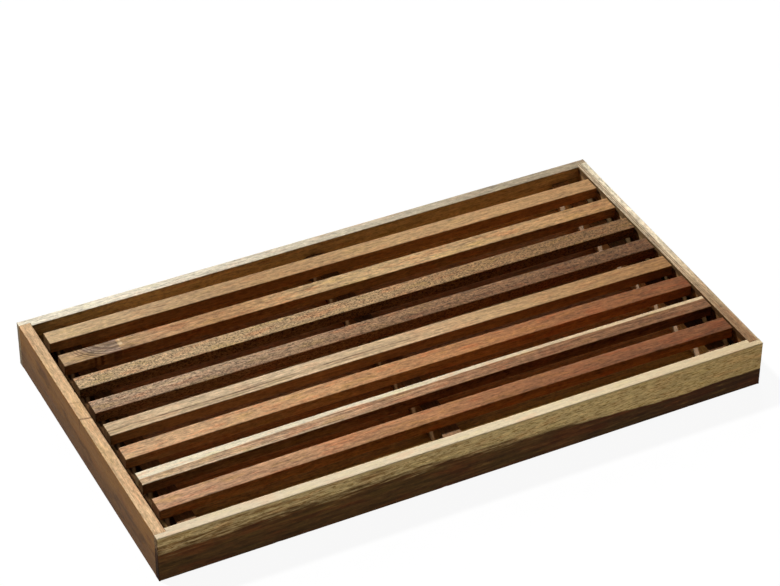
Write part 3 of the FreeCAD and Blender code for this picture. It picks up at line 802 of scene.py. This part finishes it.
front_wood = wood("acacia_front", 11,
                  [(-215, tone(232, 212, 180)), (-60, tone(236, 218, 184)),
                   (80, tone(238, 218, 180)), (215, tone(216, 192, 152))],
                  215, spacing=7.0, ring=0.10, pith=(60, -40), streak=0.40, blot=0.25,
                  fleck=0.08, fleck_size=(4.0, 1.0), mottle=0.06, extra=front_figure,
                  side_tint=(0.71, 0.62, 0.40), end_dark=0.22, shine=0.04,
                  end_tint=(1.0, 0.80, 0.60))
# the back board's inner face is lightened as painted light, by its side tint and by
# back_inner_painted_light
back_wood = wood("acacia_back", 12,
                 [(-215, tone(152, 134, 108)), (-60, tone(194, 180, 154)),
                  (80, tone(226, 214, 190)), (215, tone(240, 230, 206))],
                 215, spacing=8.0, ring=0.12, pith=(70, -30), streak=0.45, blot=0.35,
                 fleck=0.10, side_tint=(1.0, 0.86, 0.58),
                 outer_tint=(0.50, 0.42, 0.31), end_dark=0.20, extra=back_inner_painted_light,
                 end_tint=(1.0, 0.80, 0.60))
# the left end board's outer face gets a very dark outer tint as painted shade
left_wood = wood("acacia_left", 13,
                 [(-114, tone(220, 184, 142)), (0, tone(214, 176, 132)),
                  (114, tone(222, 186, 144))],
                 114.2, spacing=6.0, ring=0.14, pith=(50, -50), streak=0.51, blot=0.35,
                 fleck=0.08, extra=left_marks, outer_tint=(0.263, 0.172, 0.057), shine=0.04)
right_wood = wood("acacia_right", 14,
                  [(-114, tone(142, 104, 68)), (-40, tone(200, 172, 134)),
                   (20, tone(242, 228, 198)), (114, tone(238, 222, 190))],
                  114.2, spacing=5.0, ring=0.16, pith=(40, -40), streak=0.6, blot=0.45,
                  fleck=0.10, extra=right_lines, side_tint=(0.29, 0.22, 0.15),
                  outer_tint=(0.44, 0.35, 0.25))
long_board("front_board", False, 101, front_wood)
long_board("back_board", True, 102, back_wood)
end_board("left_end_board", False, 103, left_wood)
end_board("right_end_board", True, 104, right_wood)

# floor panel in its grooves
half = (LENGTH / 2 - STOCK + GROOVE - 0.4, WIDTH / 2 - STOCK + GROOVE - 0.4, FLOOR_T / 2 - 0.03)
points, faces = block(half, 0.3, (3.0, 3.0, 1.6))
mesh = mesh_of("tray_floor", points, faces)
weather(mesh, half, 105, 0.02, 0)
floor_wood = wood("acacia_floor", 15,
                  [(-210, tone(182, 132, 82)), (0, tone(176, 124, 74)), (210, tone(168, 116, 68))],
                  210.1, spacing=9.0, ring=0.22, pith=(120, -90), streak=0.54, fleck=0.12,
                  extra=staves)
finish_piece("tray_floor_wood", mesh, half, ((1, 0, 0), (0, 1, 0), (0, 0, 1)),
             (0, 0, FLOOR_Z + FLOOR_T / 2), "tray", "tray_floor", floor_wood)

# ---------------------------------------------------------------------------
# Grid
# ---------------------------------------------------------------------------
SLAT_WOODS = {
    1: dict(crisp=1.1, front_face_light=(1.1, 1.45),
            stops=[(-205, tone(208, 178, 136)), (-100, tone(184, 148, 106)),
                   (-34, tone(176, 136, 92)), (40, tone(195, 159, 112)),
                   (205, tone(176, 132, 86))],
            spacing=7.0, ring=0.10, streak=0.40, blot=0.34, fleck=0.08,
            slot="acacia_golden"),
    2: dict(crisp=1.2, front_face_light=(1.0, 1.3),
            stops=[(-205, tone(186, 154, 118)), (-130, tone(178, 138, 98)),
                   (-80, tone(176, 128, 82)), (-20, tone(202, 170, 124)),
                   (110, tone(188, 152, 106)), (205, tone(174, 126, 80))],
            warm=0.2,
            spacing=6.0, ring=0.12, streak=0.45, blot=0.45, fleck=0.10,
            slot="acacia_orange", extra=knot_figure),
    3: dict(crisp=1.15, front_face_light=(0.55, 1.05),
            stops=[(-205, tone(206, 176, 136)), (20, tone(184, 148, 104)),
                   (110, tone(156, 118, 78)), (205, tone(134, 98, 62))],
            spacing=4.0, ring=0.10, streak=0.30, blot=0.34, fleck=0.66,
            fleck_size=(1.5, 0.95), fleck_band=(0.50, 0.57), pore=0.45, glint=0.34, warm=0.2,
            slot="acacia_olive"),
    4: dict(crisp=1.2, front_face_light=(0.8, 1.9),
            stops=[(-205, tone(190, 160, 130)), (-100, tone(183, 153, 121)),
                   (-20, tone(162, 125, 90)),
                   (110, tone(138, 100, 68)), (205, tone(114, 80, 52))],
            spacing=4.0, ring=0.14, streak=0.42, blot=0.40, fleck=0.58,
            fleck_size=(1.8, 0.95), fleck_band=(0.50, 0.57), pore=0.45, glint=0.28, warm=0.2,
            slot="acacia_mauve", extra=front_shade),
    5: dict(crisp=1.1, front_face_light=(0.95, 1.4),
            stops=[(-205, tone(204, 176, 138)), (-70, tone(220, 194, 159)),
                   (60, tone(195, 157, 109)), (205, tone(152, 106, 62))],
            spacing=6.0, ring=0.12, streak=0.50, blot=0.30, fleck=0.08,
            slot="acacia_golden", extra=dark_threads),
    6: dict(crisp=1.1, front_face_light=(0.8, 1.85),
            stops=[(-205, tone(210, 172, 132)), (-60, tone(198, 150, 102)),
                   (60, tone(172, 114, 70)), (205, tone(120, 72, 42))],
            warm=0.22, spacing=7.0, ring=0.12, streak=0.45, blot=0.40, fleck=0.12,
            slot="acacia_orange"),
    7: dict(crisp=1.1, front_face_light=(0.5, 1.15),
            stops=[(-205, tone(214, 184, 148)), (-70, tone(204, 164, 128)),
                   (0, tone(188, 142, 104)), (110, tone(147, 104, 71)),
                   (205, tone(140, 101, 70))], warm=0.2,
            spacing=4.5, ring=0.14, streak=0.65, blot=0.40, fleck=0.16,
            slot="acacia_pink", extra=pale_half),
    8: dict(crisp=0.95, front_face_light=(1.1, 1.6),
            stops=[(-205, tone(200, 156, 122)), (-100, tone(190, 144, 104)),
                   (-30, tone(178, 126, 84)), (80, tone(150, 95, 60)), (205, tone(120, 75, 45))],
            warm=0.22, spacing=5.0, ring=0.16, streak=0.60, blot=0.40, fleck=0.18,
            fleck_size=(3.4, 1.0), slot="acacia_red"),
}
for number, middle, drift, bow in SLATS:
    name = "slat_%d" % number
    look = dict(SLAT_WOODS[number])
    slot = look.pop("slot")
    half = (SLAT_L / 2, SLAT_W / 2, SLAT_T / 2)
    points, faces = block(half, 0.7, (1.5, 1.3, 1.4))
    mesh = mesh_of(name, points, faces)
    weather(mesh, half, 200 + number, 0.025, 18)
    rng = np.random.default_rng(500 + number)
    # end grain is darker, and the slats' ends are made darker still as painted shade, as they stand
    # in shade next to the end boards
    material = wood("acacia_" + name, 30 + number, half_length=SLAT_L / 2,
                    pith=(float(rng.uniform(-35, 35)), float(rng.uniform(-70, -35))),
                    end_dark=0.24, end_tint=(1.0, 0.76, 0.52), **look)
    angle = math.atan(drift / SLAT_L)
    c, s = math.cos(angle), math.sin(angle)
    finish_piece(name + "_wood", mesh, half, ((c, s, 0), (-s, c, 0), (0, 0, 1)),
                 (GRID_X, middle, HEIGHT - SLAT_T / 2), "grid", name, material, bow)


def slat_y(number, x):
    _, middle, drift, bow = SLATS[number - 1]
    u = x - GRID_X
    return middle + drift * u / SLAT_L - bow * (2 * u / SLAT_L) ** 2


# Batten tones are darkened as painted shade, as the battens lie in shade under the slats. Left-face
# factors: the left batten's is painted shade, the middle one's gives darker wood, and the right
# one's large factor makes its left face pale against the darkened tone.
BATTEN_LEFT_FACE_SHADE = {"left": (0.32, 0.28, 0.20), "middle": (0.60, 0.60, 0.52),
                "right": (3.1, 4.6, 6.0)}
BATTEN_SHADED_TONES = {"left": (150, 114, 82), "middle": (156, 121, 90), "right": (118, 85, 61)}
for count, (side, x, drift) in enumerate(BATTENS):
    name = "batten_" + side
    half = (BATTEN_L / 2, BATTEN_W / 2, BATTEN_H / 2)
    points, faces = block(half, 0.6, (1.8, 1.6, 1.6))
    mesh = mesh_of(name, points, faces)
    cutters = []
    for number in range(1, 9):
        crossing = x + drift * SLATS[number - 1][1] / BATTEN_L
        y = slat_y(number, crossing)
        cutters.append(rod_tool((y, 0.0), 1.6, -BATTEN_H, -BATTEN_H / 2 + 1.5))
    mesh = carve(mesh, cutters)
    weather(mesh, half, 300 + count, 0.03, 8)
    material = wood("acacia_" + name, 50 + count,
                    [(-110, tone(*(c * 0.96 for c in BATTEN_SHADED_TONES[side]))),
                     (0, tone(*BATTEN_SHADED_TONES[side])),
                     (110, tone(*(c * 0.94 for c in BATTEN_SHADED_TONES[side])))],
                    BATTEN_L / 2, spacing=4.5, ring=0.08, streak=0.30, fleck=0.12,
                    pith=(20, -30), side_tint=(0.80, 0.74, 0.62),
                    outer_tint=BATTEN_LEFT_FACE_SHADE[side], across=True,
                    extra=batten_top_painted_light if side == "right" else None)
    angle = -math.atan(drift / BATTEN_L)
    c, s = math.cos(angle), math.sin(angle)
    finish_piece(name + "_wood", mesh, half, ((-s, c, 0), (-c, -s, 0), (0, 0, 1)),
                 (x, 0, BATTEN_Z + BATTEN_H / 2), "grid", name, material,
                 sharp=40)

wire = steel("brad_wire")
for side, _, _ in BATTENS:
    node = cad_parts["brads_" + side]
    node.data.materials.clear()
    node.data.materials.append(wire)

# ---------------------------------------------------------------------------
# Floor of the studio, light and camera
# ---------------------------------------------------------------------------
ground = mesh_of("studio_ground", [(-8, -8, 0), (8, -8, 0), (8, 8, 0), (-8, 8, 0)],
                 [(0, 1, 2, 3)])
paper = bpy.data.materials.new("studio_paper")
n = Nodes(paper)
coords = n.tree.nodes.new("ShaderNodeTexCoord")
grain = n.noise(n.place(coords.outputs["Object"], (60, 60, 60)), 2.0, 0.5)
n.set(n.skin.inputs["Base Color"], n.mix(grain, (0.07, 0.07, 0.07, 1), (0.085, 0.085, 0.085, 1)))
n.skin.inputs["Roughness"].default_value = 0.9
n.skin.inputs["Specular IOR Level"].default_value = 0.1
n.skin.inputs["Emission Color"].default_value = (1, 1, 1, 1)
n.skin.inputs["Emission Strength"].default_value = 0.93
ground.materials.append(paper)
floor = bpy.data.objects.new("studio_ground", ground)
SCENE.collection.objects.link(floor)

world = bpy.data.worlds.new("studio")
SCENE.world = world
world.use_nodes = True
world.node_tree.nodes["Background"].inputs[0].default_value = (1.0, 1.0, 1.0, 1.0)
world.node_tree.nodes["Background"].inputs[1].default_value = 0.02


def sun(name, azimuth, elevation, strength, softness, colour=(1.0, 1.0, 1.0)):
    """Broad soft light. Azimuth is from the back towards the left."""
    a, e = math.radians(azimuth), math.radians(elevation)
    where = Vector((-math.sin(a) * math.cos(e), math.cos(a) * math.cos(e), math.sin(e)))
    lamp = bpy.data.lights.new(name, "SUN")
    lamp.energy, lamp.angle, lamp.color = strength, math.radians(softness), colour
    thing = bpy.data.objects.new(name, lamp)
    thing.location = where * 2.0
    thing.rotation_mode = "QUATERNION"
    thing.rotation_quaternion = where.to_track_quat("Z", "Y")
    SCENE.collection.objects.link(thing)


sun("key", 32, 48.8, 3.4, 5)
sun("rim", -20, 28, 0.7, 30)

az, el, roll, tx, ty, dist, focal = (-0.46943787, 0.64885496, 0.00601177, 1.1633, 53.4008,
                                     1867.855, 2812.418)
back = Vector((math.sin(az) * math.cos(el), -math.cos(az) * math.cos(el), math.sin(el)))
right = Vector((math.cos(az), math.sin(az), 0.0))
up = back.cross(right)
side = math.cos(roll) * right + math.sin(roll) * up
upward = -math.sin(roll) * right + math.cos(roll) * up
eye = (back * dist + side * tx + upward * ty) / 1000.0
lens = bpy.data.cameras.new("photo_view")
lens.sensor_width = 36.0
lens.lens = 36.0 * focal / 780.0
lens.clip_start, lens.clip_end = 0.05, 60.0
camera = bpy.data.objects.new("photo_view", lens)
camera.matrix_world = Matrix(((side.x, upward.x, back.x, eye.x),
                              (side.y, upward.y, back.y, eye.y),
                              (side.z, upward.z, back.z, eye.z), (0, 0, 0, 1)))
SCENE.collection.objects.link(camera)
SCENE.camera = camera
SCENE.view_settings.view_transform = "Standard"
SCENE.cycles.use_denoising = True
